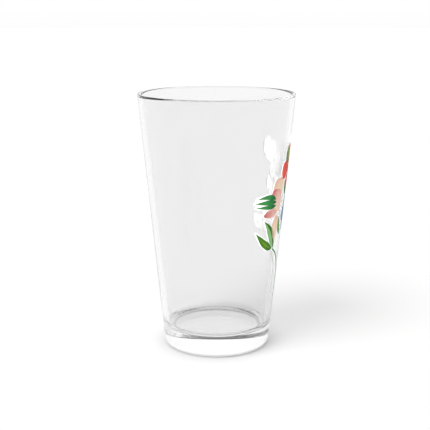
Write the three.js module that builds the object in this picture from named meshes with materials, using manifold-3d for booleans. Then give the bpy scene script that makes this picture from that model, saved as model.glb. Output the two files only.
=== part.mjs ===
// A printed pint glass: one pressed, fire-polished tumbler of clear glass, with a bouquet of flowers
// printed on the outside of its wall. The print is a white ink film with coloured inks over it.
// Millimetres, +Z up, origin at the middle of the foot. The middle of the print faces +X.

import * as THREE from 'three';
import { TessellateModifier } from 'three/addons/modifiers/TessellateModifier.js';
import { mergeVertices } from 'three/addons/utils/BufferGeometryUtils.js';
import Module from 'manifold-3d';

const wasm = await Module();
wasm.setup();

// ---- Driving sizes of the glass ----
const glassHeight = 148;
const rimDiameter = 90;
const footDiameter = 62.2;        // where the slope of the outer wall would meet the table
const rimWall = 2.6;
const floorWall = 3.6;            // wall thickness level with the inside floor
const floorThickness = 11.4;
const floorCornerRadius = 5;
const heelRadius = 2.8;
const rimOuterRound = 0.5;        // the rim is crisp outside, and rounded over the rest of its width
const glassSides = 72;

// ---- Driving sizes of the print ----
const printMiddle = 75;           // height on the wall where the artwork is at its true width
const inkFilm = 0.3;
const filmGap = 0.2;              // clearance from glass to white ink, and from white ink to colour
const colourGap = 0.3;            // clearance between two colours that lie side by side
const whiteMargin = 0.9;          // how far the white ink shows past the colours
const longestInkEdge = 6;         // facets of a film are kept shorter than this, so that they curve
const bluntness = 0.25;           // least half width of a motif, so that its ends aren't knife edges

// ---- The glass ----

const wallSlope = (rimDiameter - footDiameter) / 2 / glassHeight;
const wallAngle = Math.atan(wallSlope);

function wallRadius(height) {
  return footDiameter / 2 + wallSlope * height;
}

// One half of the glass, cut through its axis: underside, heel, outer wall, rim, inner wall, floor.
function glassProfile() {
  const slant = Math.hypot(1, wallSlope);
  const heelX = wallRadius(heelRadius) - heelRadius * slant;

  const rimInnerRound = rimWall - rimOuterRound;
  const crownX = rimDiameter / 2 - rimOuterRound;
  const innerRimZ = glassHeight - rimInnerRound;

  const innerFootX = wallRadius(floorThickness) - floorWall;
  const innerRimX = rimDiameter / 2 - rimWall;
  const innerAngle = Math.atan((innerRimX - innerFootX) / (innerRimZ - floorThickness));
  const cornerX = innerFootX + floorCornerRadius * (Math.tan(innerAngle) - 1 / Math.cos(innerAngle));
  const cornerZ = floorThickness + floorCornerRadius;

  const profile = new THREE.Path();
  profile.moveTo(0, 0);
  profile.lineTo(heelX, 0);
  profile.absarc(heelX, heelRadius, heelRadius, -Math.PI / 2, -wallAngle, false);
  profile.absarc(crownX, glassHeight - rimOuterRound, rimOuterRound, 0, Math.PI / 2, false);
  profile.absarc(crownX, innerRimZ, rimInnerRound, Math.PI / 2, Math.PI, false);
  profile.absarc(cornerX, cornerZ, floorCornerRadius, -innerAngle, -Math.PI / 2, true);
  profile.lineTo(0, floorThickness);
  return profile.getPoints(4);
}

function glassBody() {
  const geometry = new THREE.LatheGeometry(glassProfile(), glassSides);
  geometry.rotateX(Math.PI / 2);
  return geometry;
}

// ---- The artwork, drawn flat ----
// Every motif is a blade: a centre line from its base past a bend to its tip, and a width along it.
// x runs round the glass in millimetres, counter-clockwise from the middle of the print, and y is
// the height above the foot.

// How the half width runs along a blade, as a share of its fullest, with t from 0 to 1.
const outlines = {
  leaf: t => Math.sin(Math.PI * t ** 0.8),
  petal: t => Math.sin(Math.PI * t ** 1.5) ** 0.6,
  round: t => Math.sin(Math.PI * t) ** 0.5,
  stem: t => 1 - 0.45 * t,
};

// The closed outline of a blade, made larger all round by `grow`.
function bladeShape({ base, bend, tip, width, outline }, grow = 0) {
  const ends = [base, bend ?? [(base[0] + tip[0]) / 2, (base[1] + tip[1]) / 2], tip];
  const centre = new THREE.QuadraticBezierCurve(...ends.map(point => new THREE.Vector2(...point)));
  const steps = outline === 'stem' ? 6 : 8;
  const left = [];
  const right = [];
  for (let step = 0; step <= steps; step++) {
    const t = step / steps;
    const point = centre.getPoint(t);
    const along = centre.getTangent(t);
    const outward = step === 0 ? -1 : step === steps ? 1 : 0;
    point.addScaledVector(along, outward * grow);
    const half = Math.max(width / 2 * outlines[outline](t), bluntness) + grow;
    const across = new THREE.Vector2(-along.y, along.x);
    left.push(point.clone().addScaledVector(across, half));
    right.unshift(point.clone().addScaledVector(across, -half));
  }
  return new THREE.Shape([...left, ...right]);
}

// A flat plate of a blade's outline, as a solid that can be joined and cut.
function plate(blade, grow) {
  const shape = bladeShape(blade, grow);
  const geometry = new THREE.ExtrudeGeometry(shape, { depth: inkFilm, bevelEnabled: false });
  geometry.deleteAttribute('normal');
  geometry.deleteAttribute('uv');
  const merged = mergeVertices(geometry, 1e-4);
  return new wasm.Manifold(new wasm.Mesh({
    numProp: 3,
    vertProperties: new Float32Array(merged.getAttribute('position').array),
    triVerts: new Uint32Array(merged.index.array),
  }));
}

// Bends a flat plate round the wall of the glass, `lift` millimetres clear of it.
function wrapOnGlass(solid, lift) {
  const mesh = solid.getMesh();
  const flat = new THREE.BufferGeometry();
  flat.setAttribute('position', new THREE.BufferAttribute(mesh.vertProperties, mesh.numProp));
  flat.setIndex(new THREE.BufferAttribute(mesh.triVerts, 1));
  const geometry = new TessellateModifier(longestInkEdge, 12).modify(flat);
  const position = geometry.getAttribute('position');
  for (let index = 0; index < position.count; index++) {
    const height = position.getY(index);
    const angle = position.getX(index) / wallRadius(printMiddle);
    const radius = wallRadius(height) + lift + position.getZ(index);
    position.setXYZ(index, radius * Math.cos(angle), radius * Math.sin(angle), height);
  }
  geometry.deleteAttribute('normal');
  return mergeVertices(geometry, 1e-4);
}

// The petals of an open blossom, evenly round its centre, with the disc of stamens in the middle.
function blossom({ name, centre, reach, petals, turn, width, disc, colour, discColour }) {
  const blades = [{
    name: `${name}_centre`,
    base: [centre[0] - disc, centre[1]],
    tip: [centre[0] + disc, centre[1]],
    width: 2 * disc,
    outline: 'round',
    colour: discColour,
  }];
  for (let number = 0; number < petals; number++) {
    const angle = THREE.MathUtils.degToRad(turn + number * 360 / petals);
    const onRay = distance => [
      centre[0] + distance * Math.cos(angle),
      centre[1] + distance * Math.sin(angle),
    ];
    blades.push({
      name: `${name}_petal_${number + 1}`,
      base: onRay(disc + colourGap),
      tip: onRay(reach),
      width,
      outline: 'petal',
      colour,
    });
  }
  return blades;
}

const inks = {
  leafGreen: 0x4f9a2e,
  deepGreen: 0x1f7a3c,
  stemGreen: 0x6fae78,
  red: 0xe23a30,
  salmon: 0xee9088,
  pink: 0xe9a7a4,
  cream: 0xfbe3c8,
  blue: 0x6f9fc4,
  yellow: 0xe9b53c,
};

// In front first: a motif further down the list is cut back where it would run under one above it.
const motifs = [
  // Sweet-pea spray on the left: calyx, bud, standard petal, wing petals.
  { name: 'calyx_finger_middle', base: [-21.6, 89.2], bend: [-28, 90], tip: [-39, 90.6],
    width: 3, outline: 'leaf', colour: inks.deepGreen },
  { name: 'calyx_finger_top', base: [-22.4, 90.8], bend: [-27, 94.2], tip: [-37.6, 92.8],
    width: 3, outline: 'leaf', colour: inks.leafGreen },
  { name: 'calyx_finger_low', base: [-21.8, 87.4], bend: [-26.5, 86.6], tip: [-38, 88.2],
    width: 2.6, outline: 'leaf', colour: inks.deepGreen },
  { name: 'sweet_pea_bud', base: [-19.6, 83], bend: [-25, 83.8], tip: [-32, 82.6],
    width: 5.2, outline: 'round', colour: inks.pink },
  { name: 'sweet_pea_standard', base: [-16.4, 83], bend: [-19.8, 88], tip: [-25.2, 96.6],
    width: 11, outline: 'petal', colour: inks.salmon },
  { name: 'sweet_pea_keel', base: [-20, 66], bend: [-21, 73], tip: [-19.4, 81.4],
    width: 7.4, outline: 'petal', colour: inks.cream },
  { name: 'sweet_pea_wing', base: [-15, 92.4], bend: [-19.6, 96], tip: [-22.4, 102.6],
    width: 11.6, outline: 'petal', colour: inks.cream },

  // Narrow leaves tucked between the flowers.
  { name: 'leaf_over_red', base: [-9, 109.6], bend: [-13, 113], tip: [-11.6, 120.6],
    width: 4.8, outline: 'leaf', colour: inks.leafGreen },
  { name: 'leaf_under_red', base: [-6.6, 91.4], bend: [-10.4, 93], tip: [-12.4, 100],
    width: 3, outline: 'leaf', colour: inks.deepGreen },
  { name: 'leaf_beside_keel', base: [-13, 68.6], bend: [-15.6, 72], tip: [-16.2, 80.4],
    width: 2.8, outline: 'leaf', colour: inks.leafGreen },

  ...blossom({ name: 'red_blossom', centre: [-4, 106.6], reach: 14.2, petals: 5, turn: 182,
    width: 8.6, disc: 2.2, colour: inks.red, discColour: inks.yellow }),
  ...blossom({ name: 'blue_blossom', centre: [-1.2, 80], reach: 11.8, petals: 6, turn: 180,
    width: 7, disc: 2.4, colour: inks.blue, discColour: inks.yellow }),
  ...blossom({ name: 'pink_blossom', centre: [22.8, 72.4], reach: 11, petals: 4, turn: 45,
    width: 10.6, disc: 2.2, colour: inks.pink, discColour: inks.yellow }),

  // Tulip on the right, half open, over its calyx.
  { name: 'tulip_middle', base: [19.4, 104.4], bend: [19.8, 111], tip: [20, 117.4],
    width: 8, outline: 'petal', colour: inks.salmon },
  { name: 'tulip_right', base: [21.6, 104.6], bend: [26.8, 109.6], tip: [25.2, 119.2],
    width: 6.6, outline: 'petal', colour: inks.red },
  { name: 'tulip_left', base: [17.2, 104.6], bend: [11.8, 106.4], tip: [11.8, 113],
    width: 6.6, outline: 'petal', colour: inks.red },
  { name: 'tulip_calyx', base: [17.6, 95], bend: [17.6, 99], tip: [19, 104.4],
    width: 6.6, outline: 'petal', colour: inks.leafGreen },

  // Foliage and stems.
  { name: 'leaf_right_top', base: [8.4, 99.6], bend: [13, 102], tip: [14.6, 110],
    width: 4.8, outline: 'leaf', colour: inks.leafGreen },
  { name: 'leaf_right_middle', base: [5, 91], bend: [11.4, 92.2], tip: [17, 98.8],
    width: 4.4, outline: 'leaf', colour: inks.deepGreen },
  { name: 'leaf_right_low', base: [14.2, 80], bend: [17, 84], tip: [17.6, 92.8],
    width: 4.4, outline: 'leaf', colour: inks.leafGreen },
  { name: 'leaf_under_tulip', base: [18, 84.4], bend: [20, 89.4], tip: [21.8, 95.8],
    width: 5.4, outline: 'petal', colour: inks.deepGreen },
  { name: 'leaf_low_left', base: [-22, 62.2], bend: [-28.8, 63.6], tip: [-37, 73.4],
    width: 4.6, outline: 'leaf', colour: inks.leafGreen },
  { name: 'leaf_tall_left', base: [-20.8, 61.8], bend: [-22.6, 71.6], tip: [-31.4, 79.6],
    width: 5.6, outline: 'leaf', colour: inks.deepGreen },
  { name: 'leaf_centre', base: [0.6, 46], bend: [1.6, 53], tip: [6, 59],
    width: 4.4, outline: 'leaf', colour: inks.leafGreen },
  { name: 'stem_left', base: [-9.6, 32], bend: [-6.4, 53], tip: [-21.2, 61.6],
    width: 1.7, outline: 'stem', colour: inks.stemGreen },
  { name: 'stem_middle', base: [-1.6, 31], bend: [-0.6, 50], tip: [-1.2, 74],
    width: 1.7, outline: 'stem', colour: inks.stemGreen },
  { name: 'stem_right', base: [3, 31.6], bend: [5.4, 57], tip: [15.4, 65],
    width: 1.7, outline: 'stem', colour: inks.stemGreen },
];

// ---- Assembly ----

const glass = new THREE.MeshStandardMaterial({
  color: 0xf4f7f6, roughness: 0.02, metalness: 0, transparent: true, opacity: 0.35,
});

function ink(colour) {
  return new THREE.MeshStandardMaterial({ color: colour, roughness: 0.45, metalness: 0 });
}

function part(name, geometry, material) {
  const mesh = new THREE.Mesh(geometry, material);
  mesh.name = name;
  return mesh;
}

const pintGlass = new THREE.Group();
pintGlass.add(part('glass_body', glassBody(), glass));

const bouquet = new THREE.Group();
const colourLift = filmGap + inkFilm + filmGap;
let taken = null;
let whitePlate = null;
for (const motif of motifs) {
  const solid = plate(motif, 0);
  const free = taken ? solid.subtract(taken) : solid;
  bouquet.add(part(motif.name, wrapOnGlass(free, colourLift), ink(motif.colour)));
  const claimed = plate(motif, colourGap);
  taken = taken ? taken.add(claimed) : claimed;
  const backing = plate(motif, whiteMargin);
  whitePlate = whitePlate ? whitePlate.add(backing) : backing;
}
bouquet.add(part('white_ink', wrapOnGlass(whitePlate, filmGap), ink(0xffffff)));
pintGlass.add(bouquet);

export default pintGlass;
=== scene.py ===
import math

import bmesh
import bpy
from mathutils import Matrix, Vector


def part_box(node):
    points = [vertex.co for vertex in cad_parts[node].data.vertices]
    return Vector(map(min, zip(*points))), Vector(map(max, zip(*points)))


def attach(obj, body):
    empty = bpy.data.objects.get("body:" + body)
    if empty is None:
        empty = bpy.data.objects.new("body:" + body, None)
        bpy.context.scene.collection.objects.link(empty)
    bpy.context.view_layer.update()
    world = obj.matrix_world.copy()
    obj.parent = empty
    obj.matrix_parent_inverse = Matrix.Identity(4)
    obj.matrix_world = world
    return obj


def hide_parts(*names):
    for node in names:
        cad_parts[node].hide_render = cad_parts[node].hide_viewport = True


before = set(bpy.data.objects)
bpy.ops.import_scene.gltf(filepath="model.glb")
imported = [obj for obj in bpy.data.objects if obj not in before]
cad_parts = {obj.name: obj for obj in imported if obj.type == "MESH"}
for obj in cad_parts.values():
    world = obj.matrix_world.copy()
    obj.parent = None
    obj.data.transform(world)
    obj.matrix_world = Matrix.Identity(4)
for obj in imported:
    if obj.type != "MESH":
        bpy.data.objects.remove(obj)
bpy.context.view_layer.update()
scene = bpy.context.scene
mm = 0.001


# ---- Camera -----------------------------------------------------------------------------------
# A long lens half a metre in front of the glass, a little above its rim and tipped down at it, so
# that the rim and the foot open into flat ellipses.

camera_distance = 501.4 * mm
camera_height = 195.55 * mm
camera_dip = 13.34

lens = bpy.data.cameras.new("long_lens")
lens.sensor_width = 36
lens.lens = 73.6
lens.shift_x = -0.0037
lens.clip_start = 0.01
camera = bpy.data.objects.new("camera", lens)
camera.location = (0, -camera_distance, camera_height)
camera.rotation_euler = (math.radians(90 - camera_dip), 0, 0)
scene.collection.objects.link(camera)
scene.camera = camera


# ---- Studio -----------------------------------------------------------------------------------
# A white table top in a white tent. The side of the tent glows up to a third of the way overhead
# and its roof is dark, so that the glass gets dark edges. One large soft lamp stands in front on
# the left.

table_reach = 8
table_drop = 0.1 * mm
table_grey = (0.5, 0.5, 0.5, 1)
shade_reach = 100 * mm

scene.view_settings.view_transform = "Standard"
scene.cycles.max_bounces = 32
scene.cycles.transmission_bounces = 32
scene.cycles.glossy_bounces = 24
scene.cycles.use_denoising = True


def node_of(tree, kind, **values):
    """Adds a shader node and sets its plain properties."""
    node = tree.nodes.new(kind)
    for key, value in values.items():
        setattr(node, key, value)
    return node


def set_ramp(ramp, stops):
    """Gives a ramp node its stops, each a position and a grey level or a colour."""
    elements = ramp.color_ramp.elements
    while len(elements) > 1:
        elements.remove(elements[-1])
    for number, (position, colour) in enumerate(stops):
        element = elements[0] if number == 0 else elements.new(position)
        element.position = position
        if isinstance(colour, (int, float)):
            colour = (colour, colour, colour)
        element.color = (*colour, 1)


tent = bpy.data.worlds.new("tent")
tent.use_nodes = True
scene.world = tent
tent_tree = tent.node_tree
glow = tent_tree.nodes["Background"]
glow.inputs["Strength"].default_value = 1.15
direction = node_of(tent_tree, "ShaderNodeTexCoord")
split = node_of(tent_tree, "ShaderNodeSeparateXYZ")
rise = node_of(tent_tree, "ShaderNodeMapRange")
rise.inputs["From Min"].default_value = -1
tent_ramp = node_of(tent_tree, "ShaderNodeValToRGB")
set_ramp(tent_ramp, [(0.0, 0.2), (0.5, 0.87), (0.56, 0.87), (0.66, 1.0), (0.745, 1.0),
                     (0.775, 0.04), (1.0, 0.04)])
tent_tree.links.new(direction.outputs["Generated"], split.inputs[0])
tent_tree.links.new(split.outputs["Z"], rise.inputs["Value"])
tent_tree.links.new(rise.outputs[0], tent_ramp.inputs[0])
tent_tree.links.new(tent_ramp.outputs[0], glow.inputs["Color"])

table_mesh = bpy.data.meshes.new("table_top")
table_bm = bmesh.new()
bmesh.ops.create_circle(table_bm, cap_ends=True, segments=96, radius=table_reach)
bmesh.ops.translate(table_bm, verts=table_bm.verts, vec=(0, 0, -table_drop))
table_bm.to_mesh(table_mesh)
table_bm.free()
table = bpy.data.objects.new("table_top", table_mesh)
scene.collection.objects.link(table)
# This paint also glows, with painted light under the glass and painted shade round its foot.
paint = bpy.data.materials.new("matt_paint_and_painted_glow")
paint.use_nodes = True
paint_shader = paint.node_tree.nodes["Principled BSDF"]
paint_shader.inputs["Base Color"].default_value = table_grey
paint_shader.inputs["Roughness"].default_value = 1
paint_shader.inputs["Specular IOR Level"].default_value = 0
table_mesh.materials.append(paint)

# The table glows from below, which is painted light: brightest under the foot of the glass, with
# a painted shadow in a ring where the edge of the foot rests, and painted shade fading out round
# the foot. The ramp runs from the axis out to shade_reach.
table_place = node_of(paint.node_tree, "ShaderNodeTexCoord")
from_axis = node_of(paint.node_tree, "ShaderNodeVectorMath", operation="LENGTH")
paint.node_tree.links.new(table_place.outputs["Object"], from_axis.inputs[0])
reach_share = node_of(paint.node_tree, "ShaderNodeMath", operation="MULTIPLY")
reach_share.inputs[1].default_value = 1 / shade_reach
paint.node_tree.links.new(from_axis.outputs["Value"], reach_share.inputs[0])
shade_ramp = node_of(paint.node_tree, "ShaderNodeValToRGB")
set_ramp(shade_ramp, [(0.0, 0.84), (0.275, 0.84), (0.287, 0.3), (0.303, 0.3), (0.32, 0.46),
                      (0.37, 0.57), (0.45, 0.62)])
paint.node_tree.links.new(reach_share.outputs[0], shade_ramp.inputs[0])
paint.node_tree.links.new(shade_ramp.outputs[0], paint_shader.inputs["Emission Color"])
paint_shader.inputs["Emission Strength"].default_value = 1


def soft_lamp(name, energy, spread, tip, turn):
    """Hangs a broad lamp, tipped from overhead and turned round the glass, in degrees. The glass
    shows no image of it."""
    lamp = bpy.data.lights.new(name, "SUN")
    lamp.energy = energy
    lamp.angle = math.radians(spread)
    lamp_object = bpy.data.objects.new(name, lamp)
    lamp_object.rotation_euler = (math.radians(tip), 0, math.radians(turn))
    lamp_object.visible_glossy = False
    lamp_object.visible_transmission = False
    scene.collection.objects.link(lamp_object)
    return lamp_object


soft_lamp("key", energy=2, spread=35, tip=38, turn=-50)


# ---- The tumbler ------------------------------------------------------------------------------
# One pressed body of clear soda-lime glass: a thick flat foot, a tapered wall, and a rim that is
# crisp outside and rounded inside. Half its outline is spun round the axis, as it was moulded.

glass_low, glass_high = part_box("glass_body")
glass_height = glass_high[2] - glass_low[2]
rim_reach = (glass_high[0] - glass_low[0]) / 2
foot_reach = 31.1 * mm
rim_wall = 2.6 * mm
floor_wall = 3.6 * mm
floor_height = 11.4 * mm
floor_corner = 5 * mm
heel_radius = 2.8 * mm
rim_outer_round = 0.5 * mm
rim_inner_round = 1.7 * mm
turns = 256
closest_points = 0.001 * mm
glass_tint = (0.9, 0.9, 0.9, 1)

wall_slope = (rim_reach - foot_reach) / glass_height
wall_lean = math.atan(wall_slope)


def wall_radius(height):
    """The radius of the outside of the wall at a height."""
    return foot_reach + wall_slope * height


outline = bmesh.new()


def draw_to(start, x, z):
    """Draws a straight stretch of the outline, with close points at its ends to keep it straight."""
    first = start.co.copy()
    last = Vector((x, 0, z))
    for share in (0.003, 0.02, 0.15, 0.3, 0.5, 0.7, 0.85, 0.98, 0.997, 1):
        start = bmesh.ops.extrude_vert_indiv(outline, verts=[start])["verts"][0]
        start.co = first.lerp(last, share)
    return start


def draw_arc(start, centre_x, centre_z, turn, steps):
    """Draws a round stretch of the outline about a centre. A positive turn runs from +X to +Z."""
    arc = bmesh.ops.spin(outline, geom=[start], cent=(centre_x, 0, centre_z), axis=(0, -1, 0),
                         angle=turn, steps=steps)
    return [item for item in arc["geom_last"] if isinstance(item, bmesh.types.BMVert)][0]


heel_x = wall_radius(heel_radius) - heel_radius * math.hypot(1, wall_slope)
crown_x = rim_reach - rim_outer_round
inner_crown_x = rim_reach - rim_wall + rim_inner_round
inner_foot_x = wall_radius(floor_height) - floor_wall
inner_rise = glass_height - rim_inner_round - floor_height
inner_lean = math.atan((rim_reach - rim_wall - inner_foot_x) / inner_rise)
corner_x = inner_foot_x + floor_corner * (math.tan(inner_lean) - 1 / math.cos(inner_lean))
corner_z = floor_height + floor_corner

point = outline.verts.new((0, 0, 0))
point = draw_to(point, heel_x, 0)
point = draw_arc(point, heel_x, heel_radius, math.pi / 2 - wall_lean, steps=12)
point = draw_to(point, rim_reach, glass_height - rim_outer_round)
point = draw_arc(point, crown_x, glass_height - rim_outer_round, math.pi / 2, steps=10)
point = draw_to(point, inner_crown_x, glass_height)
point = draw_arc(point, inner_crown_x, glass_height - rim_inner_round, math.pi / 2, steps=16)
point = draw_to(point, corner_x + floor_corner * math.cos(inner_lean),
                corner_z - floor_corner * math.sin(inner_lean))
point = draw_arc(point, corner_x, corner_z, inner_lean - math.pi / 2, steps=12)
draw_to(point, 0, floor_height)
bmesh.ops.spin(outline, geom=outline.verts[:] + outline.edges[:], cent=(0, 0, 0), axis=(0, 0, 1),
               angle=2 * math.pi, steps=turns, use_merge=True)
bmesh.ops.remove_doubles(outline, verts=outline.verts, dist=closest_points)
bmesh.ops.recalc_face_normals(outline, faces=outline.faces)
for face in outline.faces:
    face.smooth = True
tumbler_mesh = bpy.data.meshes.new("tumbler")
outline.to_mesh(tumbler_mesh)
outline.free()
tumbler = bpy.data.objects.new("tumbler", tumbler_mesh)
scene.collection.objects.link(tumbler)

clear_glass = bpy.data.materials.new("clear_glass")
clear_glass.use_nodes = True
glass_shader = clear_glass.node_tree.nodes["Principled BSDF"]
glass_shader.inputs["Base Color"].default_value = glass_tint
glass_shader.inputs["Roughness"].default_value = 0
glass_shader.inputs["IOR"].default_value = 1.5
glass_shader.inputs["Transmission Weight"].default_value = 1
tumbler_mesh.materials.append(clear_glass)
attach(tumbler, "root")
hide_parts("glass_body")


# ---- Leaves and stems -------------------------------------------------------------------------
# Green inks, fired on as films thinner than paper. Every motif is a brush stroke: a centre line
# from its base past a bend to its tip, and a width along it. x runs round the glass and y up it.
# These and the thickness of the films are in millimetres.

print_middle = 75
film = 0.04
colour_lift = 0.09
layer_step = 0.03
finest_half_width = 0.12
columns_across = 16
rows_along = 36
motifs = []

half_widths = {
    "leaf": lambda t: math.sin(math.pi * t ** 0.8),
    "petal": lambda t: math.sin(math.pi * t ** 1.5) ** 0.6,
    "round": lambda t: math.sin(math.pi * t) ** 0.5,
    "stem": lambda t: 1 - 0.45 * t,
}


def stroke_point(stroke, t, side, grow=0):
    """The flat place of a point of a stroke: t from base to tip, side from -1 to 1 across it."""
    base, bend, tip = (Vector(stroke[end]) for end in ("base", "bend", "tip"))
    along = ((bend - base) * (1 - t) + (tip - bend) * t).normalized()
    centre = base * (1 - t) ** 2 + bend * 2 * t * (1 - t) + tip * t ** 2
    centre += along * grow * (2 * t - 1)
    ruffle = 1 + stroke.get("ruffle", 0) * math.sin(stroke.get("waves", 5) * math.pi * t + 2 * side)
    half = stroke["width"] / 2 * half_widths[stroke["outline"]](t) * ruffle
    half = max(half, finest_half_width) + grow
    notch = stroke.get("notch", 0) * (1 - abs(side)) ** 2 * t ** 6
    return centre + Vector((-along.y, along.x)) * -side * half - along * notch


def on_glass(place, lift):
    """Wraps a flat place round the wall, in metres, a little clear of the glass."""
    angle = place[0] * mm / wall_radius(print_middle * mm)
    radius = wall_radius(place[1] * mm) + lift * mm
    return Vector((radius * math.cos(angle), radius * math.sin(angle), place[1] * mm))


def lay_film(name, mesh, ink):
    """Makes a flat printed shape an object, one coat of ink thick."""
    piece = bpy.data.objects.new(name, mesh)
    scene.collection.objects.link(piece)
    coat = piece.modifiers.new("film", "SOLIDIFY")
    coat.thickness = film * mm
    coat.offset = 1
    mesh.materials.append(ink)
    return piece


def print_motif(name, slot, ink, layer=0, **stroke):
    """Prints one motif as a thin film of ink, and keeps its stroke for the white ink under it."""
    base, tip = Vector(stroke["base"]), Vector(stroke["tip"])
    stroke.setdefault("bend", (base + tip) / 2)
    motifs.append(stroke)
    bm = bmesh.new()
    bm.loops.layers.uv.new("stroke")
    bmesh.ops.create_grid(bm, x_segments=columns_across, y_segments=rows_along, size=0.5,
                          calc_uvs=True)
    for vert in bm.verts:
        place = stroke_point(stroke, vert.co.y + 0.5, vert.co.x * 2)
        vert.co = on_glass(place, colour_lift + layer * layer_step)
    for face in bm.faces:
        face.smooth = True
    mesh = bpy.data.meshes.new(name)
    bm.to_mesh(mesh)
    bm.free()
    piece = lay_film(name + "_ink", mesh, ink)
    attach(piece, "root")
    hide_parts(name)


def srgb(red, green, blue):
    """A colour given as the eye reads it, 0 to 255, as the linear values that a shader takes."""
    return tuple(((value / 255 + 0.055) / 1.055) ** 2.4 for value in (red, green, blue))


def noise_of(tree, vector, scale, detail, distortion=0):
    """Adds a noise that follows a vector, and gives its grey output."""
    noise = node_of(tree, "ShaderNodeTexNoise")
    noise.inputs["Scale"].default_value = scale
    noise.inputs["Detail"].default_value = detail
    noise.inputs["Distortion"].default_value = distortion
    tree.links.new(vector, noise.inputs["Vector"])
    return noise.outputs["Fac"]


def watercolour(name, wash, edge, edge_width=0.3, streaks=0.35, streak_colour=None, half_tone=None,
                midrib=None):
    """An ink laid like watercolour: a wash of colours from base to tip, streaks that run along the
    stroke, and pigment that gathers at the edge. half_tone tints the left half of a leaf, and
    midrib is the colour of the line down its middle."""
    material = bpy.data.materials.new(name)
    material.use_nodes = True
    tree = material.node_tree
    link = tree.links.new
    shader = tree.nodes["Principled BSDF"]
    body = node_of(tree, "ShaderNodeTexCoord").outputs["Object"]
    stroke_map = node_of(tree, "ShaderNodeUVMap", uv_map="stroke").outputs[0]
    place = node_of(tree, "ShaderNodeSeparateXYZ")
    link(stroke_map, place.inputs[0])

    def fade(value, start, end, strength):
        """A soft step, from nothing where the value is start to the strength where it is end."""
        step = node_of(tree, "ShaderNodeMapRange", interpolation_type="SMOOTHSTEP")
        step.inputs["From Min"].default_value = start
        step.inputs["From Max"].default_value = end
        step.inputs["To Max"].default_value = strength
        link(value, step.inputs["Value"])
        return step.outputs[0]

    def spread(value, low, high):
        """Spreads a value that runs from 0 to 1 between low and high."""
        span = node_of(tree, "ShaderNodeMapRange")
        span.inputs["To Min"].default_value = low
        span.inputs["To Max"].default_value = high
        link(value, span.inputs["Value"])
        return span.outputs[0]

    def brush(factor, under, over):
        """Brushes a colour over another, as thickly as the factor says."""
        blend = node_of(tree, "ShaderNodeMix", data_type="RGBA")
        link(factor, blend.inputs["Factor"])
        link(under, blend.inputs["A"])
        blend.inputs["B"].default_value = (*srgb(*over), 1)
        return blend.outputs["Result"]

    wander = spread(noise_of(tree, body, scale=260, detail=3), low=-0.22, high=0.22)
    along = node_of(tree, "ShaderNodeMath", operation="ADD")
    link(place.outputs["Y"], along.inputs[0])
    link(wander, along.inputs[1])
    ramp = node_of(tree, "ShaderNodeValToRGB")
    set_ramp(ramp, [(position, srgb(*ink)) for position, ink in wash])
    link(along.outputs[0], ramp.inputs[0])
    colour = ramp.outputs[0]
    if half_tone:
        left_half = fade(place.outputs["X"], start=0.52, end=0.4, strength=0.85)
        colour = brush(left_half, colour, half_tone)

    stretch = node_of(tree, "ShaderNodeMapping")
    stretch.inputs["Scale"].default_value = (11, 1.3, 1)
    link(stroke_map, stretch.inputs["Vector"])
    bristles = noise_of(tree, stretch.outputs[0], scale=1, detail=4, distortion=0.6)
    bristle_marks = fade(bristles, start=0.5, end=0.72, strength=streaks)
    colour = brush(bristle_marks, colour, streak_colour or edge)

    off_centre = node_of(tree, "ShaderNodeMath", operation="SUBTRACT")
    off_centre.inputs[1].default_value = 0.5
    link(place.outputs["X"], off_centre.inputs[0])
    outward = node_of(tree, "ShaderNodeMath", operation="ABSOLUTE")
    link(off_centre.outputs[0], outward.inputs[0])
    at_edge = fade(outward.outputs[0], start=0.5 - edge_width / 2, end=0.5, strength=0.75)
    colour = brush(at_edge, colour, edge)
    if midrib:
        at_middle = fade(outward.outputs[0], start=0.055, end=0.015, strength=0.8)
        colour = brush(at_middle, colour, midrib)

    grain = noise_of(tree, body, scale=2400, detail=2)
    grained = node_of(tree, "ShaderNodeVectorMath", operation="SCALE")
    link(colour, grained.inputs[0])
    link(spread(grain, low=0.8, high=1), grained.inputs["Scale"])
    link(grained.outputs[0], shader.inputs["Base Color"])
    relief = node_of(tree, "ShaderNodeBump")
    relief.inputs["Strength"].default_value = 0.15
    relief.inputs["Distance"].default_value = 0.02 * mm
    link(grain, relief.inputs["Height"])
    link(relief.outputs[0], shader.inputs["Normal"])
    shader.inputs["Roughness"].default_value = 0.5
    shader.inputs["Specular IOR Level"].default_value = 0.12
    return material


olive_leaf = watercolour(
    "olive_leaf",
    [(0.0, (30, 108, 8)), (0.45, (96, 150, 12)), (1.0, (52, 128, 14))],
    edge=(30, 116, 40), edge_width=0.3, streaks=0.6, streak_colour=(22, 92, 14),
    midrib=(166, 204, 96))
two_tone_leaf = watercolour(
    "two_tone_leaf",
    [(0.0, (10, 80, 14)), (0.5, (36, 112, 8)), (1.0, (60, 120, 4))],
    edge=(52, 138, 48), edge_width=0.2, streak_colour=(20, 88, 22), half_tone=(150, 214, 138),
    midrib=(206, 236, 180))
fresh_leaf = watercolour(
    "fresh_leaf",
    [(0.0, (30, 112, 50)), (0.5, (72, 150, 54)), (1.0, (112, 172, 76))],
    edge=(34, 120, 58), edge_width=0.25, streak_colour=(22, 102, 46), midrib=(160, 208, 120))
deep_leaf = watercolour(
    "deep_leaf",
    [(0.0, (8, 84, 40)), (0.5, (26, 112, 50)), (1.0, (88, 160, 74))],
    edge=(14, 96, 44), edge_width=0.25, streak_colour=(112, 178, 90), midrib=(140, 196, 120))
green_stem = watercolour(
    "green_stem",
    [(0.0, (196, 224, 200)), (0.35, (124, 184, 136)), (0.7, (86, 160, 106)), (1.0, (44, 128, 70))],
    edge=(60, 136, 84), edge_width=0.5, streak_colour=(196, 222, 160))

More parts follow.
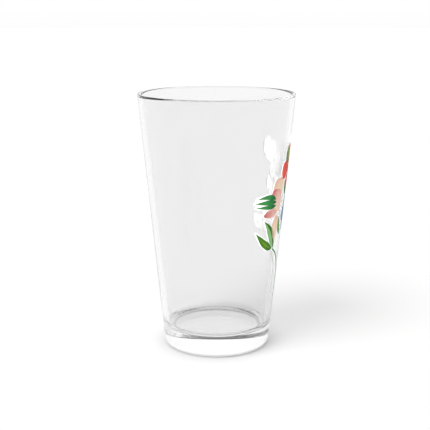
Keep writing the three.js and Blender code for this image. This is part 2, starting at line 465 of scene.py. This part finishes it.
print_motif("leaf_low_left", "leaf_green_ink", olive_leaf,
            base=(-22, 62.2), bend=(-28.8, 63.6), tip=(-37, 73.4),
            width=4.6, outline="leaf", ruffle=0.05)
print_motif("leaf_tall_left", "deep_green_ink", two_tone_leaf,
            base=(-20.8, 61.8), bend=(-22.6, 71.6), tip=(-31.4, 79.6),
            width=5.6, outline="leaf", ruffle=0.04)
print_motif("leaf_over_red", "leaf_green_ink", fresh_leaf, layer=4,
            base=(-9, 109.6), bend=(-13, 113), tip=(-11.6, 120.6),
            width=4.8, outline="leaf")
print_motif("leaf_under_red", "deep_green_ink", deep_leaf, layer=3,
            base=(-6.6, 91.4), bend=(-10.4, 93), tip=(-12.4, 100),
            width=3, outline="leaf")
print_motif("leaf_beside_keel", "leaf_green_ink", fresh_leaf, layer=3,
            base=(-13, 68.6), bend=(-15.6, 72), tip=(-16.2, 80.4),
            width=2.8, outline="leaf")
print_motif("leaf_right_top", "leaf_green_ink", fresh_leaf,
            base=(8.4, 99.6), bend=(13, 102), tip=(14.6, 110),
            width=4.8, outline="leaf", ruffle=0.05)
print_motif("leaf_right_middle", "deep_green_ink", deep_leaf,
            base=(5, 91), bend=(11.4, 92.2), tip=(17, 98.8),
            width=4.4, outline="leaf", ruffle=0.05)
print_motif("leaf_right_low", "leaf_green_ink", olive_leaf,
            base=(14.2, 80), bend=(17, 84), tip=(17.6, 92.8),
            width=4.4, outline="leaf", ruffle=0.05)
print_motif("leaf_under_tulip", "deep_green_ink", deep_leaf,
            base=(18, 84.4), bend=(20, 89.4), tip=(21.8, 95.8),
            width=5.4, outline="petal", ruffle=0.04)
print_motif("leaf_centre", "leaf_green_ink", olive_leaf,
            base=(0.6, 46), bend=(1.6, 53), tip=(6, 59),
            width=4.4, outline="leaf", ruffle=0.05)
print_motif("stem_left", "stem_green_ink", green_stem,
            base=(-9.6, 32), bend=(-6.4, 53), tip=(-21.2, 61.6),
            width=1.7, outline="stem")
print_motif("stem_middle", "stem_green_ink", green_stem,
            base=(-1.6, 31), bend=(-0.6, 50), tip=(-1.2, 74),
            width=1.7, outline="stem")
print_motif("stem_right", "stem_green_ink", green_stem,
            base=(3, 31.6), bend=(5.4, 57), tip=(15.4, 65),
            width=1.7, outline="stem")


# ---- Sweet-pea spray --------------------------------------------------------------------------
# The flower on the left of the bouquet, in the same kind of ink: a green calyx of three fingers, a
# pink bud beneath it, and cream petals flushed with salmon, printed one over another.

calyx_green = watercolour(
    "calyx_green",
    [(0.0, (0, 92, 40)), (0.3, (14, 122, 52)), (0.6, (70, 160, 84)), (1.0, (84, 158, 80))],
    edge=(34, 128, 60), edge_width=0.3, streaks=0.7, streak_colour=(10, 96, 48))
bud_pink = watercolour(
    "bud_pink",
    [(0.0, (252, 222, 200)), (0.45, (246, 192, 180)), (0.8, (232, 148, 142)), (1.0, (206, 108, 106))],
    edge=(250, 212, 192), edge_width=0.35, streaks=0.85, streak_colour=(196, 70, 84))
standard_salmon = watercolour(
    "standard_salmon",
    [(0.0, (252, 226, 196)), (0.5, (252, 220, 200)), (0.78, (246, 180, 168)), (1.0, (224, 108, 112))],
    edge=(236, 168, 158), edge_width=0.2, streaks=0.6, streak_colour=(240, 166, 156))
petal_cream = watercolour(
    "petal_cream",
    [(0.0, (252, 222, 188)), (0.6, (254, 228, 198)), (1.0, (248, 196, 172))],
    edge=(240, 186, 166), edge_width=0.35, streaks=0.5, streak_colour=(242, 190, 160))

print_motif("sweet_pea_keel", "cream_ink", petal_cream,
            base=(-20, 66), bend=(-21, 73), tip=(-19.4, 81.4),
            width=7.4, outline="petal", ruffle=0.04)
print_motif("sweet_pea_wing", "cream_ink", petal_cream,
            base=(-15, 92.4), bend=(-19.6, 96), tip=(-22.4, 102.6),
            width=11.6, outline="petal", ruffle=0.05)
print_motif("sweet_pea_standard", "salmon_ink", standard_salmon, layer=1,
            base=(-16.4, 83), bend=(-19.8, 88), tip=(-25.2, 96.6),
            width=11, outline="petal", ruffle=0.05, notch=0.8)
print_motif("sweet_pea_bud", "pink_ink", bud_pink, layer=1,
            base=(-19.6, 83), bend=(-25, 83.8), tip=(-32, 82.6),
            width=5.2, outline="round", ruffle=0.05)
print_motif("calyx_finger_low", "deep_green_ink", calyx_green, layer=2,
            base=(-21.8, 87.4), bend=(-26.5, 86.6), tip=(-38, 88.2),
            width=2.6, outline="leaf")
print_motif("calyx_finger_top", "leaf_green_ink", calyx_green, layer=2,
            base=(-22.4, 90.8), bend=(-27, 94.2), tip=(-37.6, 92.8),
            width=3, outline="leaf")
print_motif("calyx_finger_middle", "deep_green_ink", calyx_green, layer=3,
            base=(-21.6, 89.2), bend=(-28, 90), tip=(-39, 90.6),
            width=3, outline="leaf")


# ---- Open blossoms ----------------------------------------------------------------------------
# Three flowers seen face on, red, blue and pink. Each is a ring of petals round a yellow centre,
# printed petal by petal, with a ring of stamens as small yellow dots.

poppy_red = watercolour(
    "poppy_red",
    [(0.0, (146, 8, 24)), (0.25, (208, 18, 30)), (0.7, (244, 50, 34)), (1.0, (250, 118, 60))],
    edge=(214, 24, 34), edge_width=0.25, streaks=0.4, streak_colour=(176, 14, 28))
flax_blue = watercolour(
    "flax_blue",
    [(0.0, (52, 84, 140)), (0.35, (90, 136, 178)), (0.8, (116, 164, 198)), (1.0, (156, 198, 222))],
    edge=(84, 130, 164), edge_width=0.25, streaks=0.45, streak_colour=(64, 102, 154))
rose_pink = watercolour(
    "rose_pink",
    [(0.0, (208, 92, 108)), (0.3, (238, 160, 160)), (0.75, (250, 208, 198)), (1.0, (240, 160, 156))],
    edge=(234, 148, 150), edge_width=0.22, streaks=0.4, streak_colour=(228, 138, 144))
pollen_yellow = watercolour(
    "pollen_yellow",
    [(0.0, (214, 140, 30)), (0.5, (246, 202, 80)), (1.0, (214, 140, 30))],
    edge=(170, 96, 24), edge_width=0.4, streaks=0.6, streak_colour=(176, 104, 20))

petal_clearance = 0.3
stamens = 14
stamen_radius = 0.34
stamen_clearance = 1.1
stamen_scatter = 0.5


def print_blossom(name, slot, ink, centre, reach, petals, turn, width, disc, layer, **stroke):
    """Prints a ring of petals, evenly round a yellow centre with a ring of stamens about it."""
    centre = Vector(centre)
    for number in range(petals):
        angle = math.radians(turn + number * 360 / petals)
        ray = Vector((math.cos(angle), math.sin(angle)))
        print_motif(f"{name}_petal_{number + 1}", slot, ink, layer=layer + number % 2,
                    base=centre + ray * (disc + petal_clearance), tip=centre + ray * reach,
                    width=width, outline="petal", **stroke)
    print_motif(f"{name}_centre", "yellow_ink", pollen_yellow, layer=layer + 2,
                base=(centre.x - disc, centre.y), tip=(centre.x + disc, centre.y),
                width=2 * disc, outline="round", ruffle=0.08)
    bm = bmesh.new()
    bm.loops.layers.uv.new("stroke")
    for number in range(stamens):
        angle = 2 * math.pi * number / stamens
        distance = disc + stamen_clearance + stamen_scatter * math.sin(5 * number)
        spot = centre + distance * Vector((math.cos(angle), math.sin(angle)))
        dot = bmesh.ops.create_circle(bm, cap_ends=True, segments=12, radius=stamen_radius)
        for vert in dot["verts"]:
            vert.co = on_glass(vert.co.xy + spot, colour_lift + (layer + 2) * layer_step)
    mesh = bpy.data.meshes.new(name + "_stamens")
    bm.to_mesh(mesh)
    bm.free()
    piece = lay_film(name + "_stamens", mesh, pollen_yellow)
    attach(piece, "root")


print_blossom("red_blossom", "red_ink", poppy_red, centre=(-4, 106.6), reach=14.2, petals=5,
              turn=182, width=10.4, disc=2.2, layer=1, ruffle=0.05, waves=7, notch=1.2)
print_blossom("blue_blossom", "blue_ink", flax_blue, centre=(-1.2, 80), reach=11.8, petals=6,
              turn=180, width=8.4, disc=2.4, layer=0, ruffle=0.04, waves=6)
print_blossom("pink_blossom", "pink_ink", rose_pink, centre=(22.8, 72.4), reach=11, petals=4,
              turn=45, width=11.6, disc=2.2, layer=0, ruffle=0.05, waves=6, notch=1.4)


# ---- Tulip ------------------------------------------------------------------------------------
# A half-open tulip at the top right, printed in red, salmon and green inks: three petals that
# stand up out of a green calyx.

tulip_red = watercolour(
    "tulip_red",
    [(0.0, (240, 150, 84)), (0.4, (230, 62, 44)), (1.0, (200, 24, 38))],
    edge=(190, 24, 36), edge_width=0.25, streaks=0.4, streak_colour=(244, 140, 90))

print_motif("tulip_right", "red_ink", tulip_red,
            base=(21.6, 104.6), bend=(26.8, 109.6), tip=(25.2, 119.2),
            width=6.6, outline="petal", ruffle=0.04)
print_motif("tulip_left", "red_ink", tulip_red,
            base=(17.2, 104.6), bend=(11.8, 106.4), tip=(11.8, 113),
            width=6.6, outline="petal", ruffle=0.04)
print_motif("tulip_middle", "salmon_ink", standard_salmon, layer=1,
            base=(19.4, 104.4), bend=(19.8, 111), tip=(20, 117.4),
            width=8, outline="petal", ruffle=0.04)
print_motif("tulip_calyx", "leaf_green_ink", fresh_leaf, layer=1,
            base=(17.6, 95), bend=(17.6, 99), tip=(19, 104.4),
            width=6.6, outline="petal", ruffle=0.04)


# ---- White ink --------------------------------------------------------------------------------
# The opaque white film under all the colours, printed first. It shows as a thin margin round them,
# and from inside the glass it is all that shows.

white_margin = 0.5
white_lift = 0.02
plate_depth = 1.0
plate_rows = 22
print_reach = 40
column_width = 2

# Each motif, grown by the margin, is a flat plate. The plates are joined into one.
plates = bmesh.new()
for stroke in motifs:
    plate = bmesh.ops.create_grid(plates, x_segments=1, y_segments=plate_rows,
                                  size=0.5)["verts"]
    faces = {face for vert in plate for face in vert.link_faces}
    for vert in plate:
        vert.co = (*stroke_point(stroke, vert.co.y + 0.5, vert.co.x * 2, white_margin), 0)
    raised = bmesh.ops.extrude_face_region(plates, geom=list(faces))["geom"]
    top = [item for item in raised if isinstance(item, bmesh.types.BMVert)]
    bmesh.ops.translate(plates, verts=top, vec=(0, 0, plate_depth))
bmesh.ops.recalc_face_normals(plates, faces=plates.faces)
white_mesh = bpy.data.meshes.new("white_ink")
plates.to_mesh(white_mesh)
plates.free()
white_ink = bpy.data.objects.new("white_ink_film", white_mesh)
scene.collection.objects.link(white_ink)

# The union joins the plates to each other, but it needs a second body too, so a spare cube stands at
# the base of the first motif and goes away again.
spare_mesh = bpy.data.meshes.new("spare")
spare_bm = bmesh.new()
bmesh.ops.create_cube(spare_bm, size=plate_depth)
bmesh.ops.translate(spare_bm, verts=spare_bm.verts, vec=(*motifs[0]["base"], plate_depth / 2))
spare_bm.to_mesh(spare_mesh)
spare_bm.free()
spare = bpy.data.objects.new("spare", spare_mesh)
scene.collection.objects.link(spare)
joined = white_ink.modifiers.new("joined", "BOOLEAN")
joined.operation = "UNION"
joined.solver = "EXACT"
joined.use_self = True
joined.object = spare
depsgraph = bpy.context.evaluated_depsgraph_get()
flat = bmesh.new()
flat.from_mesh(white_ink.evaluated_get(depsgraph).to_mesh())
white_ink.modifiers.clear()
bpy.data.objects.remove(spare)

# Only the top of the joined plates is kept. It is cut into columns, so that it can bend round the wall.
under = [face for face in flat.faces if face.normal.z < 0.5]
bmesh.ops.delete(flat, geom=under, context="FACES")
for column in range(-print_reach, print_reach + 1, column_width):
    bmesh.ops.bisect_plane(flat, geom=flat.verts[:] + flat.edges[:] + flat.faces[:],
                           plane_co=(column, 0, 0), plane_no=(1, 0, 0))
bmesh.ops.triangulate(flat, faces=flat.faces)
for vert in flat.verts:
    vert.co = on_glass(vert.co, white_lift)
for face in flat.faces:
    face.smooth = True
flat.to_mesh(white_mesh)
flat.free()
white_film = white_ink.modifiers.new("film", "SOLIDIFY")
white_film.thickness = film * mm
white_film.offset = 1

opaque_white = bpy.data.materials.new("opaque_white")
opaque_white.use_nodes = True
white_tree = opaque_white.node_tree
white_shader = white_tree.nodes["Principled BSDF"]
white_body = node_of(white_tree, "ShaderNodeTexCoord").outputs["Object"]
white_ramp = node_of(white_tree, "ShaderNodeValToRGB")
set_ramp(white_ramp, [(0.3, (0.93, 0.93, 0.925)), (0.7, (0.97, 0.97, 0.965))])
white_tree.links.new(noise_of(white_tree, white_body, scale=1500, detail=3), white_ramp.inputs[0])
white_tree.links.new(white_ramp.outputs[0], white_shader.inputs["Base Color"])
white_shader.inputs["Roughness"].default_value = 0.45
white_mesh.materials.clear()
white_mesh.materials.append(opaque_white)
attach(white_ink, "root")
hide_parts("white_ink")


# ---- Fill lamps -------------------------------------------------------------------------------
# Two more soft lamps that reach the white ink only, from either side of the back of the print, so
# that it stays white where it is seen through the glass.

lit_by_fill = bpy.data.collections.new("lit_by_fill")
lit_by_fill.objects.link(white_ink)
shaded_from_fill = bpy.data.collections.new("shaded_from_fill")
shaded_from_fill.objects.link(white_ink)
for side, turn, energy in (("near", -25, 5), ("far", -155, 2.5)):
    fill = soft_lamp(f"{side}_fill", energy, spread=60, tip=62, turn=turn)
    fill.light_linking.receiver_collection = lit_by_fill
    fill.light_linking.blocker_collection = shaded_from_fill
